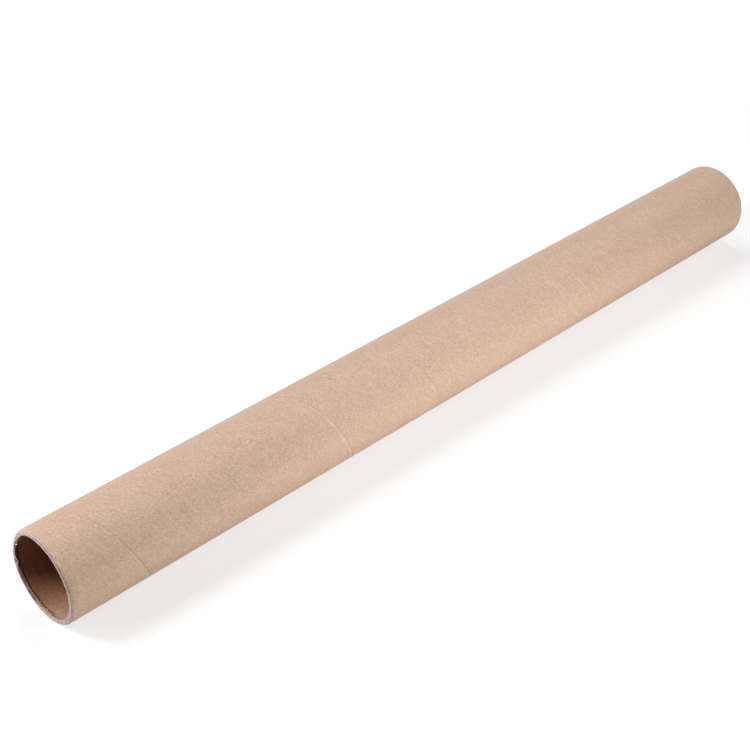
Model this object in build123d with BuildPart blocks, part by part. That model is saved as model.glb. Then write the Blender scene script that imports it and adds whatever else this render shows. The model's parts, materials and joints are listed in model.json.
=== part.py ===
from build123d import *
import os

# A cardboard mailing tube, wound in a spiral from strips of board, open at both ends.
# It lies on its side along X. Z is up from the surface that it lies on, and the origin is
# on that surface, under the middle of the tube.

# Tube
bore_diameter = 50.8
ply_thickness = 0.6
ply_count = 6
tube_length = 620.0
cut_corner_bevel = 0.35

# Winding: each ply is one strip of board, and its edges meet in a right-handed open seam.
# A seam's angle is where it meets the near end, turned about the tube from its top line.
winding_pitch = 78.3
seam_width = 0.6
outer_seam_angle = 237.8
inner_seam_angle = 67.0

# Worked out from the sizes above
wall_thickness = ply_count * ply_thickness
bore_radius = bore_diameter / 2
outer_radius = bore_radius + wall_thickness
axis_height = outer_radius
wall_middle = (0, axis_height + bore_radius + wall_thickness / 2)
near_end = Vector(-tube_length / 2, 0, axis_height)
winding_axis = Axis(near_end, (1, 0, 0))

# The board is wound as a longer blank, which is then cut to length right through the wall
spare_turns = 2.5
blank_length = tube_length + 2 * spare_turns * winding_pitch
knife_depth = 2 * wall_thickness


def seam_helix(ply_radius, seam_angle):
    """Draw a ply's seam along the blank, from the tube's top line before the near end."""
    lead_in = winding_pitch * (1 + seam_angle / 360)
    run_out = winding_pitch
    return Helix(
        pitch=winding_pitch,
        height=lead_in + tube_length + run_out,
        radius=ply_radius,
        center=near_end - winding_axis.direction * lead_in,
        direction=winding_axis.direction,
    )


with BuildPart() as tube:
    # The blank's wall
    with BuildSketch(Plane.XZ):
        with Locations(wall_middle):
            Rectangle(blank_length, wall_thickness)
    revolve(axis=winding_axis)

    # The open seams of the outermost and the innermost ply, each one ply deep
    for ply_radius, seam_angle in (
        (outer_radius, outer_seam_angle),
        (bore_radius, inner_seam_angle),
    ):
        with BuildLine() as seam:
            seam_helix(ply_radius, seam_angle)
        with BuildSketch(Plane(seam.line @ 0, x_dir=(0, 0, 1), z_dir=seam.line % 0)):
            Rectangle(2 * ply_thickness, seam_width)
        sweep(path=seam.line, is_frenet=True, mode=Mode.SUBTRACT)

    # The two offcuts, which leave flat ends with blunted corners
    with BuildSketch(Plane.XZ, mode=Mode.PRIVATE) as kept_wall:
        with Locations(wall_middle):
            Rectangle(tube_length, wall_thickness)
        chamfer(kept_wall.vertices(), cut_corner_bevel)
    with BuildSketch(Plane.XZ):
        with Locations(wall_middle):
            Rectangle(2 * blank_length, knife_depth)
            Rectangle(tube_length - 2 * cut_corner_bevel, knife_depth, mode=Mode.SUBTRACT)
        add(kept_wall.sketch, mode=Mode.SUBTRACT)
    revolve(axis=winding_axis, mode=Mode.SUBTRACT)

tube.part.label = "tube"

os.makedirs("parts", exist_ok=True)
export_step(tube.part, "parts/tube.step")
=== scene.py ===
import json
import math

import bpy
import numpy as np
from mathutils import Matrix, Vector


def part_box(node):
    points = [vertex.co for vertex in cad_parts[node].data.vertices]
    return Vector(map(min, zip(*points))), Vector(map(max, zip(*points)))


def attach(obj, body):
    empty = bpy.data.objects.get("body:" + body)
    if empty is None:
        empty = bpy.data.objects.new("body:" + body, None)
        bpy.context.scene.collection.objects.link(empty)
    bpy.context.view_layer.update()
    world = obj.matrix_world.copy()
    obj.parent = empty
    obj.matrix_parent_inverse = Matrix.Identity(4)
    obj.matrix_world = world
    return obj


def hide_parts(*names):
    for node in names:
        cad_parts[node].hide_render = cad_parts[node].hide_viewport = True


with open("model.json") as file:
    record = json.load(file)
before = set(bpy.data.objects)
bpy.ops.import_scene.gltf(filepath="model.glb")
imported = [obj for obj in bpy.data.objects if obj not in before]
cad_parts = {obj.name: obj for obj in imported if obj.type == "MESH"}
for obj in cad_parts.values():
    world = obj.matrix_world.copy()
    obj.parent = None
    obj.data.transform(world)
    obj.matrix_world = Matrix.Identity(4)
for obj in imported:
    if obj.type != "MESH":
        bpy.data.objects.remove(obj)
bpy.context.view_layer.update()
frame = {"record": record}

MM = 0.001
TURN = 2 * math.pi

# The tube, as the frame has it: it lies along X, on the floor at z = 0. Angles run round it
# from its top line towards -Y.
low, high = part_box("tube")
near_end = low.x
far_end = high.x
outer_radius = (high.z - low.z) / 2
axis_height = (high.z + low.z) / 2
bore = next(mount for mount in frame["record"]["mounts"] if mount["name"] == "bore")
bore_radius = bore["dims"]["r_mm"] * MM
ply_count = 6

# The winding. A seam's turn is where it meets the near end. The seam of the ply below lies
# this much nearer to the near end than the outer one.
winding_pitch = 78.3 * MM
outer_seam_turn = 237.8 / 360
inner_seam_turn = 67 / 360
under_seam_lead = 22.0 * MM

# The skin lies this far inside the solid, so that lifted edges stay within it
skin_inset = 0.13 * MM

# Rows of vertices round the tube: from one angle to another in degrees, and how many. They
# are closer together where the near mouth is marked and where it is torn.
row_stretches = ((0, 40, 16), (40, 122, 51), (122, 180, 23), (180, 322, 129), (322, 360, 15))

# Columns of vertices across a ply: how far apart they are in the bore and outside, how far
# from an open seam the ones beside it are, and the least distance between two
bore_spacing = 12.0 * MM
skin_spacing = 6.0 * MM
beside_seam = (0.5 * MM, 1.6 * MM)
least_spacing = 0.04 * MM

# Columns on the seam of the ply below and on the lifted edge, in widths of each
across_under_seam = np.array([-1.0, -0.45, 0, 0.45, 1.0])
across_seam_edge = np.array([-1.6, -0.8, 0, 0.8])

# The mouths reach this far in and have rings of vertices instead. Vertices in the same cell
# of the last size are joined.
mouth_reach = 6.5 * MM
weld_cell = 0.0002 * MM


# Unevenness round the tube

def bell(angle, centre, reach):
    """1 at an angle in degrees, falling smoothly to 0 at a reach to either side."""
    off = (np.degrees(angle) - centre + 180) % 360 - 180
    return np.cos(np.clip(off / reach, -1, 1) * math.pi / 2) ** 2


def plateau(angle, start, end, ramp):
    """1 between two angles in degrees, with smooth ramps outside them."""
    middle = (start + end) / 2
    off = np.abs((np.degrees(angle) - middle + 180) % 360 - 180)
    t = np.clip((off - (end - start) / 2) / ramp, 0, 1)
    return 1 - t * t * (3 - 2 * t)


def swell(angle, level, *rises):
    """A length given in mm by its level and its rises: height, angle and reach in degrees."""
    total = level
    for height, centre, reach in rises:
        total = total + height * bell(angle, centre, reach)
    return total * MM


def lean(value, towards, share):
    """Moves a value towards another by a share of the way."""
    return value + (towards - value) * share


def ripples(seed, count, rounds, lengths):
    """Returns a smooth random height, mostly between -1 and 1, that closes round the tube."""
    rng = np.random.default_rng(seed)
    waves = []
    for _ in range(count):
        around = int(rng.integers(rounds[0], rounds[1] + 1))
        along = rng.choice([-1, 1]) * TURN / rng.uniform(*lengths)
        waves.append((around, along, rng.uniform(0, TURN)))

    def height(x, angle):
        total = sum(np.cos(around * angle + along * x + phase) for around, along, phase in waves)
        return total / math.sqrt(2 * count)

    return height


# The cockle of the paper, the wobble of the saw, frayed fibres and crushed paper: a seed, how
# many waves, how often they may go round the tube, and how long they may be along it
cockle = ripples(11, 14, (0, 7), (24 * MM, 120 * MM))
saw_wobble = ripples(12, 10, (2, 14), (5 * MM, 9 * MM))
fray = ripples(13, 26, (20, 110), (0.8 * MM, 3 * MM))
crush = ripples(14, 12, (6, 40), (2 * MM, 8 * MM))


# The outside of the tube

cockle_height = 0.035 * MM

# The open seam, its lifted and frayed edge, and the seam of the ply below, which shows through
seam_half_width = 0.26 * MM
seam_lip = 0.07 * MM
seam_depth = 0.24 * MM
seam_dirt = 0.35
seam_lift = 0.08 * MM
seam_edge_back = 1.3 * MM
seam_edge_width = 0.65 * MM
seam_edge_paleness = 0.5
under_seam_width = 0.9 * MM
under_seam_depth = 0.06 * MM
under_seam_paleness = 0.4

# Small changes of a seam along its length: their level, and a slow and a quick one, each as
# its size and how many waves it has in a turn
flicker_level = 0.64
slow_flicker = (0.22, 9.3)
quick_flicker = (0.25, 23.7)

# How open and how pale the outer seam is, as pairs of the turns run along it and a strength
open_seam = (
    (0.0, 0.7), (0.9, 0.1), (1.0, 0.4), (1.06, 0.8), (1.12, 1.0), (1.2, 1.15), (1.28, 1.0),
    (1.5, 0.6), (1.85, 0.3), (1.95, 0.1), (2.08, 0.12), (2.13, 0.6), (2.2, 0.75), (2.24, 0.3),
    (2.3, 0.3), (2.5, 0.6), (2.85, 0.6), (2.97, 0.7), (3.0, 1.1), (3.08, 1.2), (3.13, 0.5),
    (3.22, 0.5), (3.28, 1.0), (3.5, 0.6), (3.85, 0.3), (3.95, 0.08), (4.08, 0.12), (4.13, 1.0),
    (4.22, 0.7), (4.28, 0.9), (4.5, 0.5), (4.9, 0.1), (5.15, 0.08), (5.25, 0.2), (5.5, 0.5),
    (5.95, 0.05), (6.15, 0.1), (6.3, 0.2), (6.5, 0.5), (6.95, 0.05), (7.1, 0.1), (7.2, 0.25),
    (7.5, 0.5), (7.95, 0.1), (8.1, 0.15), (8.2, 0.3), (8.5, 0.6), (9.0, 0.7),
)
pale_seam = (
    (0.0, 0.4), (0.93, 0.1), (1.03, 0.7), (1.1, 0.8), (1.15, 0.5), (1.2, 0.4), (1.28, 0.5),
    (1.6, 0.4), (1.95, 0.05), (2.1, 0.08), (2.14, 0.4), (2.2, 0.3), (2.26, 0.1), (2.5, 0.5),
    (2.9, 0.3), (3.05, 0.3), (3.12, 1.0), (3.2, 1.5), (3.25, 1.1), (3.5, 0.5), (3.95, 0.05),
    (4.1, 0.1), (4.15, 0.4), (4.22, 0.5), (4.27, 0.5), (4.5, 0.4), (4.9, 0.05), (5.3, 0.08),
    (5.5, 0.4), (5.95, 0.05), (6.1, 0.12), (6.13, 1.2), (6.17, 1.4), (6.22, 0.9), (6.27, 0.7),
    (6.32, 0.2), (6.5, 0.4), (6.95, 0.03), (7.1, 0.22), (7.2, 0.22), (7.3, 0.1), (7.5, 0.4),
    (8.0, 0.08), (8.3, 0.1), (8.5, 0.4), (9.0, 0.4),
)
# How strongly the seam of the ply below shows through, by the turns run along it
under_print = (
    (0.0, 0.1), (5.9, 0.1), (6.04, 0.7), (6.12, 1.1), (6.2, 0.8), (6.27, 0.3), (6.6, 0.4),
    (7.0, 0.1), (9.0, 0.1),
)
# How far along X the winding strays, by the distance from the near end, both in mm
wander_by_place = (
    (0.0, 0.2), (36.0, 0.2), (113.0, -0.6), (191.0, -0.3), (269.0, -0.4), (347.0, 0.3),
    (427.0, 1.0), (506.0, 1.4), (585.0, -0.4), (620.0, -0.4),
)


def by_table(value, pairs):
    """Reads a table of pairs at a value, with straight lines between its points."""
    places, sizes = zip(*pairs)
    return np.interp(value, places, sizes)


def wander(x):
    """How far along X the winding strays from an even one."""
    return by_table((x - near_end) / MM, wander_by_place) * MM


def along_winding(x, angle, seam_turn, lead=0.0):
    """Distance along X from the nearest edge of a ply, and the turns run along that edge."""
    even_place = x - wander(x) - near_end
    winding = (even_place + lead) / winding_pitch - angle / TURN + seam_turn
    edge = np.round(winding)
    return (winding - edge) * winding_pitch, angle / TURN + edge


def seam_gap(off, half_width):
    """1 in an open seam and 0 outside it, with a narrow lip between them."""
    return np.clip((half_width + seam_lip - np.abs(off)) / seam_lip, 0, 1)


def flicker(turns):
    """Small changes of a seam along its length, between about 0.15 and 1.1."""
    slow = slow_flicker[0] * np.cos(TURN * slow_flicker[1] * turns + 1.0)
    quick = quick_flicker[0] * np.cos(TURN * quick_flicker[1] * turns)
    return flicker_level + slow + quick


def opened(turns):
    """How open the outer seam is."""
    return by_table(turns, open_seam) * flicker(turns)


def lifted_edge(off, turns):
    """The ply's lifted and frayed edge, on the near side of its seam: 1 at its crest."""
    crest = np.exp(-((off + seam_edge_back) / seam_edge_width) ** 2)
    return crest * by_table(turns, pale_seam) * flicker(1.7 * turns)


def under_seam(x, angle):
    """The seam of the ply below: 1 along its middle where it shows through most."""
    off, turns = along_winding(x, angle, outer_seam_turn, under_seam_lead)
    shape = np.exp(-(off / under_seam_width) ** 2)
    return shape * by_table(turns, under_print) * flicker(2.3 * turns)


def outside_radius(x, angle):
    """Radius of the outer ply's surface."""
    off, turns = along_winding(x, angle, outer_seam_turn)
    gap = seam_gap(off, seam_half_width)
    radius = outer_radius - skin_inset + cockle_height * cockle(x, angle)
    radius = radius + seam_lift * lifted_edge(off, turns) * (1 - gap)
    return radius - seam_depth * opened(turns) * gap - under_seam_depth * under_seam(x, angle)


def outside_marks(x, angle):
    """Where the outside is frayed, along its seams, and where it is soiled, in the open one."""
    off, turns = along_winding(x, angle, outer_seam_turn)
    frayed_and_lit = seam_edge_paleness * lifted_edge(off, turns)
    frayed_and_lit = frayed_and_lit + under_seam_paleness * under_seam(x, angle)
    soiled_and_shaded = seam_dirt * opened(turns) * (np.abs(off) < seam_half_width + seam_lip / 2)
    return np.stack([frayed_and_lit, soiled_and_shaded], axis=-1)


# The bore

bore_inset = 0.04 * MM
inner_seam_half_width = 0.3 * MM
inner_seam_depth = 0.35 * MM

# Where the bore is painted pale, as light falling in through the near mouth and as rubbing: its
# strength, its depth, and its angle and reach in degrees
pale_bore_strength = 0.85
pale_bore_depth = 15 * MM
pale_bore_angle, pale_bore_reach = 163, 66


def bore_surface(x, angle):
    """Radius of the innermost ply's surface."""
    off, turns = along_winding(x, angle, inner_seam_turn)
    gap = seam_gap(off, inner_seam_half_width)
    radius = bore_radius + bore_inset - cockle_height * cockle(x, angle + 1)
    return radius + inner_seam_depth * gap * (0.75 + 0.25 * np.cos(TURN * 1.7 * turns))


def bore_rub_and_light(x, angle):
    """How pale the bore is low in the near mouth: painted light, and rubbing from things pushed
    in.
    """
    depth = x - near_end
    return pale_bore_strength * np.exp(-(depth / pale_bore_depth) ** 2) * bell(angle, pale_bore_angle, pale_bore_reach)


# Meshes

def new_piece(name, points, faces, materials, finishes=None):
    """Makes an object, with the number of a material for each face where they differ."""
    mesh = bpy.data.meshes.new(name)
    mesh.from_pydata(points, [], faces)
    for material in materials:
        mesh.materials.append(material)
    if finishes is not None:
        mesh.polygons.foreach_set("material_index", finishes)
    mesh.validate()
    mesh.update()
    piece = bpy.data.objects.new(name, mesh)
    bpy.context.scene.collection.objects.link(piece)
    return piece


def ring_points(x, radius, angles):
    """Points in the frame, from places along X and radii in rows of one angle each."""
    angle = np.broadcast_to(angles[:, None], x.shape)
    y = -radius * np.sin(angle)
    z = axis_height + radius * np.cos(angle)
    return np.stack([x, y, z], axis=-1)


def wall_point(x, radius, angle):
    """A point in the frame by its place along X, its radius and its angle in radians."""
    return Vector((x, -radius * math.sin(angle), axis_height + radius * math.cos(angle)))


class Patchwork:
    """Gathers patches of vertices and faces into one mesh, joined where their edges meet."""

    def __init__(self):
        self.points = []
        self.faces = []
        self.finishes = []
        self.marks = []
        self.count = 0

    def add(self, points, shift, finish, outward, marks):
        """Adds rows of points that close round the tube, where a turn gains some columns."""
        rows, columns = points.shape[:2]
        grid = self.count + np.arange(rows * columns).reshape(rows, columns)
        after = np.roll(grid, -1, axis=0)
        if shift:
            after[-1] = grid[0, np.clip(np.arange(columns) + shift, 0, columns - 1)]
        quads = np.stack([grid[:, :-1], grid[:, 1:], after[:, 1:], after[:, :-1]], axis=-1)
        quads = quads.reshape(-1, 4)
        if not outward:
            quads = quads[:, ::-1]
        self.points.append(points.reshape(-1, 3))
        self.faces.append(quads)
        self.finishes.append(np.broadcast_to(finish, (rows, columns - 1)).ravel())
        self.marks.append(marks.reshape(-1, 2))
        self.count += rows * columns

    def build(self, name, materials):
        """Makes the object, with vertices in the same place joined and flat faces left out."""
        points = np.concatenate(self.points)
        cells = np.round(points / weld_cell).astype(np.int64)
        _, first, same = np.unique(cells, axis=0, return_index=True, return_inverse=True)
        faces = same.ravel()[np.concatenate(self.faces)]
        kept_faces = []
        kept_finishes = []
        for corners, finish in zip(faces.tolist(), np.concatenate(self.finishes).tolist()):
            corners = [c for i, c in enumerate(corners) if c != corners[i - 1]]
            if len(set(corners)) == len(corners) and len(corners) > 2:
                kept_faces.append(corners)
                kept_finishes.append(finish)
        piece = new_piece(name, points[first].tolist(), kept_faces, materials, kept_finishes)
        mesh = piece.data
        mesh.polygons.foreach_set("use_smooth", [True] * len(mesh.polygons))
        marks = np.concatenate(self.marks)[first]
        for i, mark in enumerate(mark_names):
            attribute = mesh.attributes.new(mark, "FLOAT", "POINT")
            attribute.data.foreach_set("value", marks[:, i].astype(np.float32))
        return piece


# Numbers of the finishes on the tube's mesh, and the names of its marks
OUTSIDE, INSIDE, CUT_EDGE, TORN_PLY, BARED_PLY_AND_SHADE = range(5)
mark_names = ("frayed_and_lit", "soiled_and_shaded")


def row_angles():
    """Angles of the rows of vertices, in radians."""
    rows = [np.linspace(*stretch, endpoint=False) for stretch in row_stretches]
    return np.radians(np.concatenate(rows))


def seam_columns(half_width, spacing, extra=()):
    """Places of the columns across one turn of a ply: close at its edges, even between them."""
    steps = (0, seam_lip, *beside_seam)
    edge = np.array([half_width + step for step in steps])
    first = edge[-1]
    last = winding_pitch - first
    even = np.linspace(first, last, int((last - first) / spacing) + 1)
    places = np.unique(np.concatenate([[0], edge, even, winding_pitch - edge, extra]).round(8))
    kept = np.append(np.diff(places) > least_spacing, True)
    return places[kept][:-1]


def wound_places(angles, seam_turn, columns, start, end):
    """Places along X of the columns that follow a ply's edge in each row, between two ends."""
    turns = np.arange(-2, math.ceil((end - start) / winding_pitch) + 3)
    starts = (turns[:, None] + columns[None, :] / winding_pitch).ravel()
    x = near_end + winding_pitch * (starts[None, :] + angles[:, None] / TURN - seam_turn)
    return np.clip(x + wander(x), start, end)


# The mouths, as rings of vertices from the outside round to the bore. Each ply has three on
# the cut face, with one in the glue line below it, at these shares of its thickness.
ply_rings = (0.94, 0.5, 0.06, 0.0)
face_rings = [(k, part) for k in range(ply_count, 0, -1) for part in ply_rings][:-1]

# The worn near mouth, in mm: how far it is rounded inward and back, and how far its lip is
# bent in. Each has a level and rises, as their height, angle and reach in degrees.
rounding_inward = (0.6, (1.9, 290, 38), (1.2, 326, 34), (0.3, 30, 60))
rounding_back = (0.8, (3.4, 294, 42), (2.0, 328, 34), (0.5, 30, 60))
lip_bend = (0.1, (0.45, 70, 85), (-0.65, 342, 34))

# Nicks in it and a dark crack, as their angle and reach, and how deep the nicks are in the
# cut face and in the innermost ply. Both are painted dark, as the shade inside them.
nicks = ((261, 4.5), (296, 3), (287, 2.5))
dark_crack = (74.5, 2.5)
nick_depth = 1.5 * MM
inner_nick_depth = 1.3 * MM

# Stretches of it, as the degrees that they go from and to, and the ramps outside them
stretches = {
    "top": (300, 352, 12),
    "shaded_right": (5, 46, 25),
    "right": (46, 118, 14),
    "torn": (47, 72, 8),
    "dark_line": (70, 106, 8),
    "bottom": (118, 200, 14),
    "ragged": (176, 260, 9),
    "bared": (202, 262, 4),
    "grooved": (206, 258, 12),
    "left": (209, 250, 12),
    "broken": (210, 288, 8),
    "upper_left": (254, 292, 8),
    "darkened_bore_edge": (254, 293, 6),
}

# Rings in the bore behind the end of the innermost ply: how far on, how deep the groove is there,
# where that ply is torn back, and how dark it is painted, as dirt and as the shade in it
groove_rings = (
    (0.0, 0.0, 0.8), (0.1, 0.5, 1.0), (0.7, 0.35, 1.0), (1.0, 0.0, 0.4), (1.5, 0.0, 0.0),
)


class Rings:
    """Gathers the rings of a mouth."""

    def __init__(self, rows):
        self.blank = np.zeros((rows, 1))
        self.rings = []

    def put(self, x, radius, frayed_and_lit, soiled_and_shaded, finish):
        """Adds a ring: its place and marks, and the finish between it and the next one."""
        values = (x, radius, frayed_and_lit, soiled_and_shaded, finish)
        self.rings.append([value + self.blank for value in values])

    def columns(self):
        """The places along X, radii, marks and finishes, with a column for each ring."""
        return [np.concatenate(values, axis=1) for values in zip(*self.rings)]


def on_stretch(angle, name):
    """1 on a named stretch of the near mouth."""
    return plateau(angle, *stretches[name])


def face_marks(angle, share):
    """How pale and how dark the cut face is, from its inner corner, 0, to its outer one, 1. The
    dark is painted shade in a band and a line on the right and in a crack, dirt in specks and
    tears, and darker paint on the left and the upper left.
    """
    inner = np.clip((0.62 - share) / 0.2, 0, 1)
    strokes = np.clip(0.8 + 0.3 * crush(20 * MM, angle), 0.3, 1)
    spots = np.clip(0.55 + 0.85 * fray(30 * MM + share * 1.5 * MM, angle), 0, 1)

    pale = lean(0.45 + 0.55 * inner, 0.9, on_stretch(angle, "top"))
    pale = lean(pale, 0.82, on_stretch(angle, "bottom"))
    for name, shown in (
        ("right", share < 0.66),
        ("torn", share < 0.45),
        ("left", share > 0.7),
        ("upper_left", share > 0.3),
    ):
        pale = lean(pale, 0.95 * shown, on_stretch(angle, name))
    pale = pale * (1 - 0.5 * np.clip(spots - 0.4, 0, 1))

    # Painted shade, with some dirt: a band on the outer part of the face on the right, and a line
    # further round
    shade_band = 0.8 * np.exp(-((share - 0.64) / 0.09) ** 2)
    line = lean(spots, 1, 0.4) * np.exp(-((share - 0.74) / 0.12) ** 2)
    dirt_and_shade = shade_band * on_stretch(angle, "shaded_right")
    dirt_and_shade = np.maximum(dirt_and_shade, line * on_stretch(angle, "dark_line"))
    dirt_and_shade = np.maximum(dirt_and_shade, 0.9 * spots * (share > 0.45) * on_stretch(angle, "torn"))
    # Painted shade of a crack on the right
    dirt_and_shade = np.maximum(dirt_and_shade, 0.8 * bell(angle, *dark_crack) * (share > 0.25))
    dirt_and_shade = np.maximum(dirt_and_shade, 0.5 * np.clip(spots - 0.6, 0, 1))
    # Darker across the broken-out middle on the left, and on the inner third at the upper left
    dirt_and_shade = lean(dirt_and_shade, strokes * (share < 0.7), on_stretch(angle, "left"))
    dirt_and_shade = lean(dirt_and_shade, 0.9 * (share < 0.3), on_stretch(angle, "upper_left"))
    return pale, dirt_and_shade


def near_mouth(angle, inner_place):
    """The worn near end, from a place along the outside round to the same place in the bore."""
    inward = swell(angle, *rounding_inward)
    back = swell(angle, *rounding_back)
    lip = swell(angle, *lip_bend)
    saw = (0.16 + 0.10 * saw_wobble(0.0, angle)) * MM
    nick = np.max([bell(angle, *place) for place in nicks], axis=0)
    ragged = on_stretch(angle, "ragged")
    # Darker on the edge of the bore at the upper left
    darkened_bore_edge = on_stretch(angle, "darkened_bore_edge")
    rings = Rings(len(angle))

    # The outside, rounded towards the cut, with painted shade next to the mouth on its right side
    halfway = (near_end + (saw + back) + inner_place) / 2
    rings.put(inner_place, outside_radius(inner_place, angle), 0.0, 0.0, OUTSIDE)
    # Painted shade on the outside next to the mouth, on its right side
    rings.put(halfway, outside_radius(halfway, angle), 0.0, 0.12 * bell(angle, 70, 55), OUTSIDE)
    corner_pale, corner_dark = face_marks(angle, 1.0)
    for t in np.linspace(0, 1, 9)[:-1]:
        x = near_end + (saw + back * (1 - math.sin(t * math.pi / 2)))
        radius = outside_radius(x, angle) - inward * (1 - math.cos(t * math.pi / 2))
        # Painted shade, with some dirt, on the rounding on the right side, leaning into the
        # corner's marks
        dirt_and_shade = lean(0.2 * bell(angle, 66, 34), corner_dark, t ** 1.5)
        rings.put(x, radius, corner_pale * t ** 1.5, dirt_and_shade, OUTSIDE if t <= 0.5 else CUT_EDGE)

    # The cut face, ply by ply, with its middle broken out on the left
    outer_edge = outside_radius(near_end + saw, angle) - inward
    inner_edge = bore_radius - lip
    for k, part in face_rings:
        share = (k - 1 + part) / ply_count
        glue_line = part == 0
        if glue_line:
            uneven = (0.12 + 0.06 * crush(k * MM, angle)) * MM
        else:
            uneven = 0.05 * MM * fray(k * 3 * MM + part * MM, angle)
        broken = on_stretch(angle, "broken") * (0.05 < share < 0.6)
        sunk = broken * (0.7 + 0.25 * fray(k * MM, angle)) * MM
        bitten = nick * (share < 0.7)
        x = near_end + (saw + uneven + np.maximum(sunk, bitten * nick_depth))
        pale, dirt_and_shade = face_marks(angle, share)
        # Glue lines are dark; nicks are painted dark, as the shade inside them
        dirt_and_shade = lean(dirt_and_shade + 0.15 * glue_line, 1.0, bitten)
        rings.put(x, lean(inner_edge, outer_edge, share), pale, dirt_and_shade, CUT_EDGE)

    # The end of the innermost ply, torn back on the left
    ply_end = saw + (1.35 + 0.2 * crush(0.0, angle)) * MM
    for share in (0.08, 0.3, 0.6, 0.85):
        x = near_end + lean(saw + nick * inner_nick_depth, ply_end, share)
        radius = bore_surface(x, angle) - lip * (1 - share) ** 2
        pale = lean(lean(0.9 * (1 - share), 0.12, ragged), 0.0, darkened_bore_edge)
        # Darker on the edge of the bore at the upper left, and painted dark in the nicks as their
        # shade
        dirt_and_shade = lean(lean(0.1 * ragged, 0.8, darkened_bore_edge), 1.0, nick)
        rings.put(x, radius, pale, dirt_and_shade, np.where(ragged > 0.5, TORN_PLY, INSIDE))

    # The groove that it leaves, painted dark as dirt and as its shade, and the bore behind it,
    # painted pale low in the mouth as light falling in and as rubbing
    groove = ragged * (0.25 + 0.75 * on_stretch(angle, "grooved"))
    bared = on_stretch(angle, "bared") > 0.5
    for ahead, depth, dirt_and_shade in groove_rings:
        x = near_end + (ply_end + ahead * MM)
        radius = bore_surface(x, angle) + groove * depth * MM
        pale = bore_rub_and_light(x, angle) * (1 - ragged * dirt_and_shade)
        dirt_and_shade = np.maximum(0.3 * ragged * dirt_and_shade, darkened_bore_edge * (0.8 if ahead < 1 else 0.2))
        # The bared ply in the groove is dark brown, partly as painted shade
        rings.put(x, radius, pale, dirt_and_shade, np.where(bared & (ahead < 1), BARED_PLY_AND_SHADE, INSIDE))
    # Pale low in the near mouth: painted light falling in, and rubbing
    bore_paleness = bore_rub_and_light(inner_place, angle)
    rings.put(inner_place, bore_surface(inner_place, angle), bore_paleness, 0.0, INSIDE)
    return rings


def far_mouth(angle, inner_place):
    """The far end, a square cut with blunted and slightly frayed corners, in the same way."""
    blunting = (0.45 + 0.12 * crush(9 * MM, angle)) * MM
    saw = np.maximum(0.14 + 0.05 * saw_wobble(50 * MM, angle), 0.1) * MM
    rings = Rings(len(angle))

    rings.put(inner_place, outside_radius(inner_place, angle), 0.0, 0.0, OUTSIDE)
    for t in np.linspace(0, 1, 6)[:-1]:
        x = far_end - saw - blunting * (1 - math.sin(t * math.pi / 2))
        radius = outside_radius(x, angle) - blunting * (1 - math.cos(t * math.pi / 2))
        rings.put(x, radius, t ** 2, 0.0, OUTSIDE if t <= 0.5 else CUT_EDGE)

    outer_edge = outside_radius(far_end - saw, angle) - blunting
    inner_edge = bore_radius + 0.2 * MM
    for k, part in face_rings:
        share = (k - 1 + part) / ply_count
        if part == 0:
            uneven = 0.10 * MM
            frayed_and_lit = 0.4
        else:
            uneven = 0.04 * MM * fray(k * 2 * MM + part * MM, angle)
            frayed_and_lit = 1.0
        x = far_end - saw - uneven
        rings.put(x, lean(inner_edge, outer_edge, share), frayed_and_lit, 0.0, CUT_EDGE)

    for ahead, frayed_and_lit in ((0.1, 0.5), (0.35, 0.0)):
        x = far_end - saw - ahead * MM
        rings.put(x, bore_surface(x, angle) + 0.16 * MM * frayed_and_lit, frayed_and_lit, 0.0, INSIDE)
    rings.put(inner_place, bore_surface(inner_place, angle), 0.0, 0.0, INSIDE)
    return rings


def build_tube(materials):
    """The wound wall: outside, bore, near mouth and far mouth, as one closed skin."""
    angles = row_angles()
    angle = angles[:, None]
    near_ring = near_end + mouth_reach
    far_ring = far_end - mouth_reach
    patch = Patchwork()

    under = winding_pitch - under_seam_lead + across_under_seam * under_seam_width
    edge = winding_pitch - seam_edge_back + across_seam_edge * seam_edge_width
    columns = seam_columns(seam_half_width, skin_spacing, np.concatenate([under, edge]))
    x = wound_places(angles, outer_seam_turn, columns, near_ring, far_ring)
    points = ring_points(x, outside_radius(x, angle), angles)
    patch.add(points, len(columns), OUTSIDE, True, outside_marks(x, angle))

    columns = seam_columns(inner_seam_half_width, bore_spacing)
    x = wound_places(angles, inner_seam_turn, columns, near_ring, far_ring)
    points = ring_points(x, bore_surface(x, angle), angles)
    # Pale low in the near mouth: painted light falling in, and rubbing
    worn_and_lit = bore_rub_and_light(x, angle)
    patch.add(points, len(columns), INSIDE, False, np.stack([worn_and_lit, worn_and_lit * 0], axis=-1))

    for rings, outward in (
        (near_mouth(angle, near_ring), False),
        (far_mouth(angle, far_ring), True),
    ):
        x, radius, frayed_and_lit, soiled_and_shaded, finish = rings.columns()
        points = ring_points(x, radius, angles)
        marks = np.stack([frayed_and_lit, soiled_and_shaded], axis=-1)
        patch.add(points, 0, finish[:, :-1].astype(int), outward, marks)
    return patch.build("wound_tube", materials)


# Torn fibres and shreds of paper at the mouths

# Fibres: their count and seed at each end, the ranges of their length and thickness, and of
# how deep in mm their roots are in the mouth, and how far those are sunk in the wall
near_fibres = (110, 21)
far_fibres = (60, 22)
fibre_length = (0.6 * MM, 2.1 * MM)
fibre_radius = (0.025 * MM, 0.05 * MM)
fibre_root = (0.25, 0.6)
fibre_sunk = 0.15 * MM
fibre_steps = 5
fibre_sides = 3

# Finishes of the scraps, and how shreds lie: flat across the mouth or against the bore
BRIGHT, TAN = range(2)
ACROSS_MOUTH = Vector((1, 0, 0))
ON_BORE = None

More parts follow.
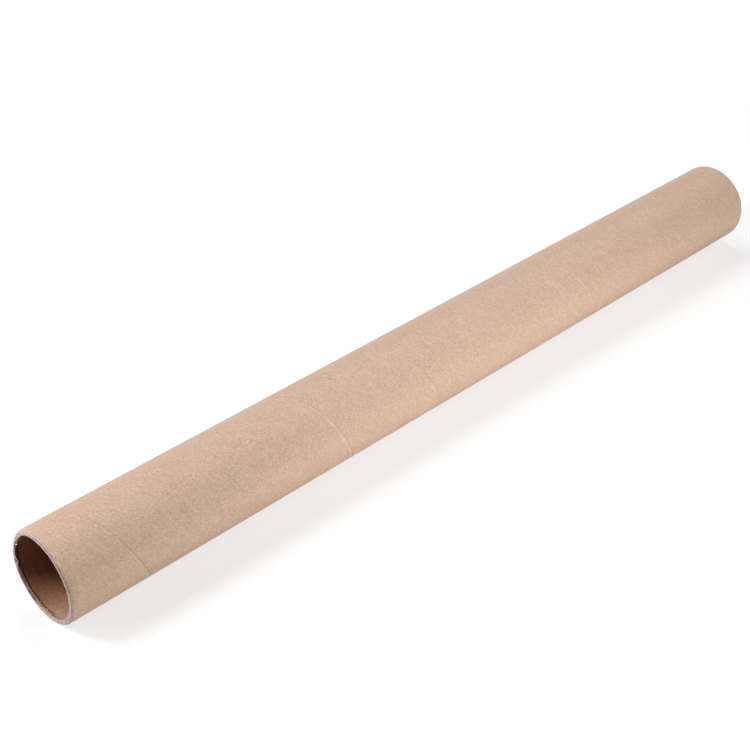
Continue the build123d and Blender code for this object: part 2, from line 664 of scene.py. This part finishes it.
# Shreds of paper in the near mouth: how each lies, where it starts and ends, as depth in and
# radius in mm and angle in degrees, its width in mm, and its finish
shreds = (
    (ACROSS_MOUTH, (0.08, 26.6, 268.5), (0.15, 24.4, 264.8), 0.95, BRIGHT),
    (ACROSS_MOUTH, (0.12, 25.2, 292.5), (0.30, 23.9, 298.0), 0.75, BRIGHT),
    (ACROSS_MOUTH, (0.12, 25.0, 306.0), (0.25, 24.5, 298.5), 0.45, TAN),
    (ON_BORE, (7.30, 25.3, 241.6), (8.10, 25.2, 241.0), 0.7, TAN),
    (ON_BORE, (1.40, 25.3, 200.5), (1.90, 25.1, 199.5), 0.5, TAN),
    (ON_BORE, (1.30, 25.3, 186.0), (2.10, 25.1, 183.5), 1.2, TAN),
)
shred_profile = (0.45, 0.9, 1.0, 0.7, 0.95, 0.55, 0.25)
shred_thickness = 0.12 * MM

# Scraps stay this far inside the tube's ends
scrap_margin = 0.03 * MM


def add_strip_faces(faces, first, steps, sides):
    """Faces along a strip that starts at a point's number, and one over each of its ends."""
    for step in range(steps):
        for side in range(sides):
            a = first + step * sides + side
            b = first + step * sides + (side + 1) % sides
            faces.append((a, b, b + sides, a + sides))
    last = first + steps * sides
    faces.append(tuple(range(first + sides - 1, first - 1, -1)))
    faces.append(tuple(range(last, last + sides)))


def add_fibre(points, faces, rng, end, inward):
    """A thin curling fibre, from the inner corner of a cut end into the open bore."""
    angle = rng.uniform(0, TURN)
    length = rng.uniform(*fibre_length)
    thick = rng.uniform(*fibre_radius)
    along = rng.uniform(-0.5, 1.0) * length * 0.6
    curl = rng.uniform(-1.0, 1.0) * length / bore_radius
    rise = rng.uniform(0.15, 0.7) * length
    root = end + inward * rng.uniform(*fibre_root) * MM
    first = len(points)
    for step in range(fibre_steps + 1):
        t = step / fibre_steps
        depth = inward * max(along * t * t, 0.0)
        height = rise * t * (2 - t) - fibre_sunk
        turned = angle + curl * t * (0.4 + 0.6 * t)
        spine = wall_point(root + depth, bore_radius - height, turned)
        size = thick * (1 - 0.8 * t)
        for side in range(fibre_sides):
            way = TURN * side / fibre_sides
            points.append(spine + Vector((math.cos(way), 0, math.sin(way))) * size)
    add_strip_faces(faces, first, fibre_steps, fibre_sides)


def add_shred(points, faces, lies, start, end, width):
    """A shred of paper with a ragged outline, from its root to its loose end."""
    root, tip = (
        wall_point(near_end + depth * MM, radius * MM, math.radians(degrees))
        for depth, radius, degrees in (start, end)
    )
    middle = (root + tip) / 2
    outward = lies or Vector((0, middle.y, middle.z - axis_height)).normalized()
    towards = (tip - root).normalized()
    across = towards.cross(outward).normalized()
    upright = across.cross(towards).normalized()
    first = len(points)
    steps = len(shred_profile) - 1
    for step, reach in enumerate(shred_profile):
        spine = root.lerp(tip, step / steps)
        half = reach * width * MM / 2
        for side, face in ((-1, 0), (1, 0), (1, 1), (-1, 1)):
            points.append(spine + across * side * half + upright * face * shred_thickness)
    add_strip_faces(faces, first, steps, 4)


def build_torn_paper(name, materials, end, inward, fibres, loose_shreds):
    """The torn fibres and shreds of one mouth, as one piece."""
    count, seed = fibres
    rng = np.random.default_rng(seed)
    points = []
    faces = []
    for _ in range(count):
        add_fibre(points, faces, rng, end, inward)
    finishes = [BRIGHT] * len(faces)
    for *shred, finish in loose_shreds:
        add_shred(points, faces, *shred)
        finishes += [finish] * (len(faces) - len(finishes))
    lowest = near_end + scrap_margin
    highest = far_end - scrap_margin
    kept_in = [(min(max(x, lowest), highest), y, z) for x, y, z in points]
    return new_piece(name, kept_in, faces, materials, finishes)


# Specks of bark in the outer ply: the clearest ones that the photo shows, as distance along
# the tube in mm, angle in degrees and size in mm, and others strewn over the hidden side
known_specks = (
    (48, 66, 0.42), (140, 26, 0.42), (252, 55, 0.45), (271, 8, 0.42), (115, 22, 0.3),
    (28, 25, 0.25), (186, 70, 0.25), (330, 62, 0.25), (421, 63, 0.38), (560, 82, 0.35),
    (592, 80, 0.35),
)
strewn_specks = 40
strewn_ranges = ((15, 605), (110, 330), (0.2, 0.5))
speck_seed = 31

# The two outlines of a speck, as their reach and their rise over the paper
speck_outlines = ((1.0, -0.04 * MM), (0.75, 0.05 * MM))


def build_bark_specks(material):
    """Small dark chips of bark, pressed into the outer ply and hardly proud of it."""
    rng = np.random.default_rng(speck_seed)
    specks = list(known_specks)
    for _ in range(strewn_specks):
        specks.append([rng.uniform(*span) for span in strewn_ranges])
    points = []
    faces = []
    for along, degrees, size in specks:
        x = near_end + along * MM
        angle = math.radians(degrees)
        sides = int(rng.integers(6, 9))
        turned = rng.uniform(0, TURN)
        first = len(points)
        for reach, rise in speck_outlines:
            for i in range(sides):
                way = turned + TURN * i / sides
                wide = reach * size * rng.uniform(0.75, 1.15) * MM
                spot_x = x + math.cos(way) * wide * 1.3
                spot_angle = angle + math.sin(way) * wide * 0.7 / outer_radius
                radius = float(outside_radius(spot_x, spot_angle)) + rise
                points.append(wall_point(spot_x, radius, spot_angle))
        for i in range(sides):
            j = (i + 1) % sides
            faces.append((first + j, first + i, first + sides + i, first + sides + j))
        faces.append(tuple(range(first, first + sides)))
        faces.append(tuple(range(first + 2 * sides - 1, first + sides - 1, -1)))
    return new_piece("bark_specks", points, faces, [material])


# Materials

class Nodes:
    """Adds nodes to a tree, with values or links for their inputs by name or number."""

    def __init__(self, tree):
        self.tree = tree
        self.tree.nodes.clear()

    def add(self, kind, inputs=None, **settings):
        """Adds a node of a kind."""
        node = self.tree.nodes.new(kind)
        for key, value in settings.items():
            setattr(node, key, value)
        for key, value in (inputs or {}).items():
            self.join(value, node.inputs[key])
        return node

    def join(self, value, socket):
        """Links an output to an input, or sets the input to a plain value."""
        if isinstance(value, bpy.types.NodeSocket):
            self.tree.links.new(value, socket)
        else:
            socket.default_value = value

    def math(self, operation, *values):
        """Works out one value from others."""
        node = self.add("ShaderNodeMath", operation=operation)
        for i, value in enumerate(values):
            self.join(value, node.inputs[i])
        return node.outputs[0]

    def mixture(self, first, second, share):
        """Mixes two values, where the second has this share of the whole."""
        kept = self.math("MULTIPLY", first, 1 - share)
        return self.math("ADD", kept, self.math("MULTIPLY", second, share))

    def spread(self, value, from_low, from_high, to_low=0.0, to_high=1.0):
        """Maps one range to another and stops at its ends."""
        ranges = {0: value, 1: from_low, 2: from_high, 3: to_low, 4: to_high}
        return self.add("ShaderNodeMapRange", ranges).outputs[0]

    def blend(self, share, first, second):
        """Mixes two colours."""
        node = self.add("ShaderNodeMix", data_type="RGBA", blend_type="MIX")
        for socket, value in ((0, share), (6, first), (7, second)):
            self.join(value, node.inputs[socket])
        return node.outputs[2]

    def noise(self, place, scale, detail, rough):
        """A soft random value at a place."""
        inputs = {"Vector": place, "Scale": scale, "Detail": detail, "Roughness": rough}
        return self.add("ShaderNodeTexNoise", inputs).outputs[0]

    def chips(self, place, scale, channel, chosen, size, low, high):
        """1 on chips of up to a size, in the cells whose random value is over the chosen one."""
        cell = self.add("ShaderNodeTexVoronoi", {"Vector": place, "Scale": scale}, feature="F1")
        pick = self.add("ShaderNodeSeparateColor", {0: cell.outputs["Color"]})
        reach = self.spread(pick.outputs[channel], chosen, 1.0, 0.0, size)
        inside = self.math("SUBTRACT", reach, cell.outputs["Distance"])
        return self.spread(inside, low, high)


def node_group(name, inputs, outputs):
    """A new shader group. Returns its tree, nodes, inputs and outputs."""
    kinds = {"float": "NodeSocketFloat", "vector": "NodeSocketVector"}
    tree = bpy.data.node_groups.new(name, "ShaderNodeTree")
    nodes = Nodes(tree)
    for label, kind, value in inputs:
        socket = tree.interface.new_socket(name=label, in_out="INPUT", socket_type=kinds[kind])
        socket.default_value = value
    for label, kind in outputs:
        tree.interface.new_socket(name=label, in_out="OUTPUT", socket_type=kinds[kind])
    given = nodes.add("NodeGroupInput").outputs
    out = nodes.add("NodeGroupOutput").inputs
    return tree, nodes, given, out


def winding_place_group():
    """Where a point lies on a ply: along its strip, across it, and deep in the wall, in metres."""
    tree, n, given, out = node_group(
        "Place on the winding",
        [("Seam turn", "float", outer_seam_turn), ("Pitch", "float", winding_pitch)],
        [("Place", "vector"), ("Round", "vector")],
    )
    spot = n.add("ShaderNodeTexCoord").outputs["Object"]
    x, y, z = n.add("ShaderNodeSeparateXYZ", {0: spot}).outputs
    up = n.math("SUBTRACT", z, axis_height)
    side = n.math("MULTIPLY", y, -1.0)
    turn = n.math("DIVIDE", n.math("ARCTAN2", side, up), TURN)
    side_squared = n.math("MULTIPLY", side, side)
    up_squared = n.math("MULTIPLY", up, up)
    radius = n.math("SQRT", n.math("ADD", side_squared, up_squared))
    turns_in = n.math("DIVIDE", n.math("SUBTRACT", x, near_end), given["Pitch"])
    winding = n.math("ADD", n.math("SUBTRACT", turns_in, turn), given["Seam turn"])
    whole = n.math("FLOOR", winding)
    across = n.math("MULTIPLY", n.math("SUBTRACT", winding, whole), given["Pitch"])
    along = n.math("MULTIPLY", n.math("ADD", turn, whole), TURN * outer_radius)
    place = n.add("ShaderNodeCombineXYZ", {0: along, 1: across, 2: radius})
    n.join(place.outputs[0], out["Place"])
    n.join(spot, out["Round"])
    return tree


# Scales of the paper's texture: deep in the wall, and for each layer of its fibres, which is
# turned by an angle in radians, the scales along and across the strip
depth_scale = 300.0
fibre_layers = ((0.32, 420, 2600), (-0.38, 480, 2300), (0.05, 300, 1500))


def stretched(n, place, along, across, turned=0.0):
    """Scales a place on the strip, so that what is drawn there lies along the fibres."""
    inputs = {"Vector": place, "Angle": turned}
    turn = n.add("ShaderNodeVectorRotate", inputs, rotation_type="Z_AXIS")
    inputs = {0: turn.outputs[0], 1: (along, across, depth_scale)}
    return n.add("ShaderNodeVectorMath", inputs, operation="MULTIPLY").outputs[0]


def paper_fibre_group():
    """Felted paper: fine crossing fibres, a soft mottle, dark specks and pale flecks."""
    tree, n, given, out = node_group(
        "Paper fibres",
        [("Place", "vector", (0, 0, 0)), ("Round", "vector", (0, 0, 0)),
         ("Coarseness", "float", 1.0)],
        [("Fibres", "float"), ("Mottle", "float"), ("Cloud", "float"), ("Specks", "float"),
         ("Flecks", "float")],
    )
    inputs = {0: given["Place"], "Scale": given["Coarseness"]}
    place = n.add("ShaderNodeVectorMath", inputs, operation="SCALE").outputs[0]

    layers = []
    for turned, along, across in fibre_layers:
        layers.append(n.noise(stretched(n, place, along, across, turned), 1.0, 2.0, 0.55))
    crossed = n.math("ADD", n.math("ADD", layers[0], layers[1]), layers[2])
    fibres = n.math("DIVIDE", crossed, float(len(layers)))
    n.join(n.spread(fibres, 0.36, 0.64), out["Fibres"])

    fine = n.noise(place, 760.0, 2.0, 0.6)
    blotch = n.noise(stretched(n, place, 170, 260), 1.0, 3.0, 0.6)
    n.join(n.spread(n.mixture(fine, blotch, 0.28), 0.345, 0.655), out["Mottle"])
    n.join(n.spread(n.noise(given["Round"], 42.0, 3.0, 0.5), 0.32, 0.68), out["Cloud"])

    n.join(n.chips(place, 190.0, 0, 0.90, 0.085, -0.01, 0.02), out["Specks"])
    hairs = stretched(n, place, 260, 1100, 0.5)
    n.join(n.chips(hairs, 1.0, 1, 0.72, 0.30, -0.05, 0.10), out["Flecks"])
    return tree


def wear_and_painted_light_group():
    """Wear at the mouths, dirt, and painted light and shade, as marked on the mesh and broken up
    by the fibres.
    """
    tree, n, given, out = node_group(
        "Wear, dirt and painted light",
        [("Fibres", "float", 0.5), ("Mottle", "float", 0.5), ("Fray and light amount", "float", 1.0),
         ("Soil and shade amount", "float", 1.0), ("Break-up", "float", 1.1)],
        [("Frayed and lit", "float"), ("Soiled and shaded", "float")],
    )
    frayed_and_lit, soiled_and_shaded = (
        n.add("ShaderNodeAttribute", attribute_name=mark, attribute_type="GEOMETRY").outputs["Fac"]
        for mark in mark_names
    )
    rough = n.math("SUBTRACT", given["Fibres"], 0.5)
    rough = n.math("ADD", rough, n.math("SUBTRACT", given["Mottle"], 0.5))
    change = n.math("MULTIPLY", rough, n.math("MULTIPLY", frayed_and_lit, given["Break-up"]))
    pale = n.spread(n.math("ADD", frayed_and_lit, change), 0.05, 0.95)
    n.join(n.math("MULTIPLY", pale, given["Fray and light amount"]), out["Frayed and lit"])
    dirt_and_shade = n.math("MULTIPLY", soiled_and_shaded, n.spread(given["Mottle"], 0.0, 1.0, 0.75, 1.25))
    n.join(n.math("MULTIPLY", dirt_and_shade, given["Soil and shade amount"]), out["Soiled and shaded"])
    return tree


# Relief of the paper, how far its roughness strays, and the soft bloom of its loose fibres
paper_relief = 0.05 * MM
rough_change = 0.06
sheen_roughness = 0.45
sheen_tint = (0.84, 0.87, 0.94, 1.0)


def board_material(name, groups, seam_turn, colours, amounts):
    """Board of one ply: colours are the body, its dark and light fibres, worn paper, which in the
    bore also paints light, and dirt, which also paints shade.
    """
    body, dark, light, worn_and_lit, dirt_and_shade = [(*colour, 1.0) for colour in colours]
    darker = 1 - 0.25 * amounts["break-up"]
    worn_and_lit_dark = (*(darker * part for part in worn_and_lit[:3]), 1.0)
    material = bpy.data.materials.new(name)
    material.use_nodes = True
    n = Nodes(material.node_tree)

    inputs = {"Seam turn": seam_turn}
    place = n.add("ShaderNodeGroup", inputs, node_tree=groups["place"]).outputs
    inputs = {"Place": place["Place"], "Round": place["Round"]}
    inputs["Coarseness"] = amounts["coarseness"]
    paper = n.add("ShaderNodeGroup", inputs, node_tree=groups["paper"]).outputs
    fibres = paper["Fibres"]
    mottle = paper["Mottle"]
    inputs = {"Fibres": fibres, "Mottle": mottle, "Fray and light amount": amounts["fray"]}
    inputs["Soil and shade amount"] = amounts["soil_and_shade"]
    inputs["Break-up"] = amounts["break-up"]
    edge = n.add("ShaderNodeGroup", inputs, node_tree=groups["edge"]).outputs

    tone = n.mixture(n.mixture(mottle, fibres, 0.4), paper["Cloud"], amounts["cloud"])
    colour = n.blend(n.spread(tone, 0.0, 0.5), dark, body)
    colour = n.blend(n.spread(tone, 0.5, 1.0), colour, light)
    colour = n.blend(n.math("MULTIPLY", paper["Flecks"], amounts["flecks"]), colour, light)
    colour = n.blend(n.math("MULTIPLY", paper["Specks"], amounts["specks"]), colour, dirt_and_shade)
    # Pale worn paper, which in the bore's near mouth also paints the light that falls in
    worn_and_lit_colour = n.blend(n.spread(tone, 0.1, 0.75), worn_and_lit_dark, worn_and_lit)
    colour = n.blend(edge["Frayed and lit"], colour, worn_and_lit_colour)
    # Dark where soiled, and where shade is painted
    colour = n.blend(edge["Soiled and shaded"], colour, dirt_and_shade)

    height = n.math("ADD", fibres, n.math("MULTIPLY", mottle, 0.6))
    inputs = {"Strength": amounts["bump"], "Distance": paper_relief, "Height": height}
    normal = n.add("ShaderNodeBump", inputs).outputs[0]
    smoothest = amounts["rough"] - rough_change
    roughest = amounts["rough"] + rough_change
    rough = n.spread(fibres, 0.0, 1.0, smoothest, roughest)
    inputs = {"Base Color": colour, "Roughness": rough, "Normal": normal}
    shader = n.add("ShaderNodeBsdfPrincipled", inputs)
    shader.inputs["Specular IOR Level"].default_value = amounts["gloss"]
    shader.inputs["Sheen Weight"].default_value = amounts["sheen"]
    shader.inputs["Sheen Roughness"].default_value = sheen_roughness
    shader.inputs["Sheen Tint"].default_value = sheen_tint
    n.add("ShaderNodeOutputMaterial", {0: shader.outputs[0]})
    return material


# Finishes of the board. Each has the seam that its fibres follow, the colours of its body and
# of its dark and light fibres, that of worn paper, which in the bore also paints light, and the
# amounts that differ from the usual.
frayed_white = (0.98, 0.80, 0.775)
# The rubbed tan paints light low in the bore's near mouth, as well as rubbing
rubbed_and_lit_tan = (0.75, 0.485, 0.355)
# Dirt, and painted shade at the near mouth
dirt_and_shade_brown = (0.085, 0.044, 0.028)
# The fray amount also scales the painted light low in the bore, and the soil amount the painted
# shade
usual_amounts = {
    "fray": 0.0, "soil_and_shade": 0.0, "cloud": 0.0, "flecks": 0.3, "specks": 0.0, "rough": 0.95,
    "sheen": 0.0, "break-up": 1.1,
}
board_finishes = {
    "kraft_outside": (
        outer_seam_turn,
        ((0.70, 0.475, 0.342), (0.54, 0.345, 0.235), (0.84, 0.63, 0.49)), frayed_white,
        {"coarseness": 1.0, "fray": 0.8, "soil_and_shade": 0.6, "cloud": 0.06, "flecks": 0.35,
         "specks": 0.7, "bump": 0.25, "rough": 0.76, "gloss": 0.42, "sheen": 0.22},
    ),
    # The bore's colours are darkened, partly as painted shade of the tube's inside
    "kraft_inside": (
        inner_seam_turn,
        ((0.335, 0.152, 0.084), (0.25, 0.105, 0.056), (0.43, 0.215, 0.132)), rubbed_and_lit_tan,
        {"coarseness": 0.8, "fray": 0.8, "soil_and_shade": 0.95, "cloud": 0.2, "specks": 0.6,
         "bump": 0.3, "gloss": 0.05, "break-up": 0.3},
    ),
    "cut_edge": (
        outer_seam_turn,
        ((0.66, 0.46, 0.37), (0.38, 0.25, 0.19), (0.90, 0.76, 0.69)), frayed_white,
        {"coarseness": 1.4, "fray": 0.9, "soil_and_shade": 0.9, "cloud": 0.15, "flecks": 0.6,
         "specks": 0.2, "bump": 0.6, "rough": 0.9, "gloss": 0.3, "sheen": 0.15},
    ),
    "torn_ply": (
        inner_seam_turn,
        ((0.74, 0.45, 0.35), (0.50, 0.29, 0.21), (0.90, 0.64, 0.54)), frayed_white,
        {"coarseness": 1.6, "fray": 0.8, "soil_and_shade": 1.0, "cloud": 0.1, "flecks": 0.6,
         "specks": 0.3, "bump": 0.8, "gloss": 0.1},
    ),
    # The bared ply is dark brown, partly as painted shade of the groove it lines
    "bared_ply_and_shade": (
        inner_seam_turn,
        ((0.20, 0.075, 0.042), (0.12, 0.042, 0.024), (0.32, 0.14, 0.085)), frayed_white,
        {"coarseness": 1.2, "fray": 0.5, "soil_and_shade": 0.6, "cloud": 0.1, "specks": 0.3,
         "bump": 0.6, "gloss": 0.05},
    ),
    "torn_fibre": (
        inner_seam_turn,
        ((0.93, 0.84, 0.77), (0.82, 0.70, 0.61), (0.97, 0.92, 0.87)), frayed_white,
        {"coarseness": 2.0, "flecks": 0.5, "bump": 0.4, "gloss": 0.2, "sheen": 0.1},
    ),
    "bark_chip": (
        outer_seam_turn,
        ((0.22, 0.13, 0.085), (0.12, 0.07, 0.045), (0.36, 0.23, 0.16)), frayed_white,
        {"coarseness": 3.0, "bump": 0.6, "rough": 0.9, "gloss": 0.3},
    ),
}


def board_materials():
    """The materials of all finishes, by name."""
    groups = {
        "place": winding_place_group(),
        "paper": paper_fibre_group(),
        "edge": wear_and_painted_light_group(),
    }
    materials = {}
    for name, (seam_turn, shades, worn_and_lit, own_amounts) in board_finishes.items():
        colours = (*shades, worn_and_lit, dirt_and_shade_brown)
        amounts = {**usual_amounts, **own_amounts}
        materials[name] = board_material(name, groups, seam_turn, colours, amounts)
    return materials


# Stage

# The floor: half its width, its cells along a side, its grey, and the glow that makes it look
# white, which is weaker round the tube, where the lamps add to it, and full from further off
floor_half = 6.0
floor_cells = 24
floor_grey = (0.46, 0.46, 0.46, 1.0)
glow_by_tube = 0.66
glow_starts, glow_full = 0.5, 0.85

# Light from all round, and soft round lamps: where each is, what it points at, its width and
# its power
sky_strength = 0.07
near_rim = (near_end, 0.0, axis_height)
far_rim = (far_end, 0.0, axis_height)
soft_lamps = {
    "lamp_over_mouth": ((-0.735, 0.345, 0.73), near_rim, 0.3, 4.5),
    "lamp_by_mouth": ((-1.04, 0.27, 0.48), near_rim, 0.3, 1.9),
    "lamp_front": ((0.02, -0.58, 0.145), (0.02, 0.0, axis_height), 0.32, 2.75),
    "lamp_behind": ((0.29, 0.52, 0.64), (0.15, 0.0, axis_height), 0.6, 3.95),
    "lamp_far_mouth": ((0.80, -0.24, 0.27), far_rim, 0.3, 0.45),
}

# The photograph's view: where the camera stands from what it aims at, and its lens
view_azimuth = math.radians(-44.575)
view_elevation = math.radians(34.296)
view_distance = 0.9554
view_aim = Vector((-0.0567, 0.0, 0.0410))
lens_length = 72.33
sensor_width = 36.0


def seen_by_eye(n):
    """1 for rays that show the scene straight, in a gloss or through glass, and 0 for light."""
    path = n.add("ShaderNodeLightPath")
    seen = n.math("MAXIMUM", path.outputs["Is Camera Ray"], path.outputs["Is Glossy Ray"])
    return n.math("MAXIMUM", seen, path.outputs["Is Transmission Ray"])


def floor_material():
    """A pale floor's finish, which looks white but keeps the tube's shadow."""
    material = bpy.data.materials.new("pale_floor")
    material.use_nodes = True
    n = Nodes(material.node_tree)
    board = n.add("ShaderNodeBsdfDiffuse", {"Color": floor_grey})
    spot = n.add("ShaderNodeTexCoord").outputs["Object"]
    far_off = n.add("ShaderNodeVectorMath", {0: spot}, operation="LENGTH").outputs["Value"]
    white_out = n.spread(far_off, glow_starts, glow_full, glow_by_tube, 1.0)
    strength = n.math("MULTIPLY", seen_by_eye(n), white_out)
    glow = n.add("ShaderNodeEmission", {"Strength": strength})
    white = n.add("ShaderNodeAddShader", {0: board.outputs[0], 1: glow.outputs[0]})
    n.add("ShaderNodeOutputMaterial", {0: white.outputs[0]})
    return material


def build_floor():
    """A wide flat floor under the tube."""
    ticks = np.linspace(-floor_half, floor_half, floor_cells + 1)
    points = [(x, y, 0.0) for y in ticks for x in ticks]
    row = floor_cells + 1
    faces = []
    for j in range(floor_cells):
        for i in range(floor_cells):
            corner = j * row + i
            faces.append((corner, corner + 1, corner + row + 1, corner + row))
    floor = new_piece("floor", points, faces, [floor_material()])


def light_studio():
    """Weak even light from all round, and the soft lamps."""
    world = bpy.data.worlds.new("studio")
    bpy.context.scene.world = world
    world.use_nodes = True
    n = Nodes(world.node_tree)
    strength = n.spread(seen_by_eye(n), 0.0, 1.0, sky_strength, 1.0)
    inputs = {"Color": (1.0, 1.0, 1.0, 1.0), "Strength": strength}
    sky = n.add("ShaderNodeBackground", inputs)
    n.add("ShaderNodeOutputWorld", {0: sky.outputs[0]})
    for name, (place, aim, size, power) in soft_lamps.items():
        lamp = bpy.data.lights.new(name, "AREA")
        lamp.shape = "DISK"
        lamp.size = size
        lamp.energy = power
        holder = bpy.data.objects.new(name, lamp)
        holder.location = place
        towards = Vector(aim) - Vector(place)
        holder.rotation_euler = towards.to_track_quat("-Z", "Y").to_euler()
        holder.visible_camera = False
        bpy.context.scene.collection.objects.link(holder)


def place_camera():
    """The camera, above the near mouth's side, with a long lens."""
    back = Vector((
        math.sin(view_azimuth) * math.cos(view_elevation),
        -math.cos(view_azimuth) * math.cos(view_elevation),
        math.sin(view_elevation),
    ))
    lens = bpy.data.cameras.new("view")
    lens.sensor_width = sensor_width
    lens.lens = lens_length
    lens.dof.use_dof = False
    camera = bpy.data.objects.new("view", lens)
    camera.location = view_aim + back * view_distance
    camera.rotation_euler = (-back).to_track_quat("-Z", "Y").to_euler()
    bpy.context.scene.collection.objects.link(camera)
    bpy.context.scene.camera = camera


place_camera()
light_studio()
build_floor()
board = board_materials()
wall_names = ("kraft_outside", "kraft_inside", "cut_edge", "torn_ply", "bared_ply_and_shade")
tube = build_tube([board[name] for name in wall_names])
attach(tube, "root")
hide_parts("tube")
scrap_finishes = [board["torn_fibre"], board["torn_ply"]]
near_scraps = build_torn_paper(
    "torn_paper_near", scrap_finishes, near_end, 1, near_fibres, shreds
)
far_scraps = build_torn_paper("torn_paper_far", scrap_finishes, far_end, -1, far_fibres, ())
specks = build_bark_specks(board["bark_chip"])
for scraps in (near_scraps, far_scraps, specks):
    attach(scraps, "root")

bpy.context.scene.view_settings.view_transform = "Standard"
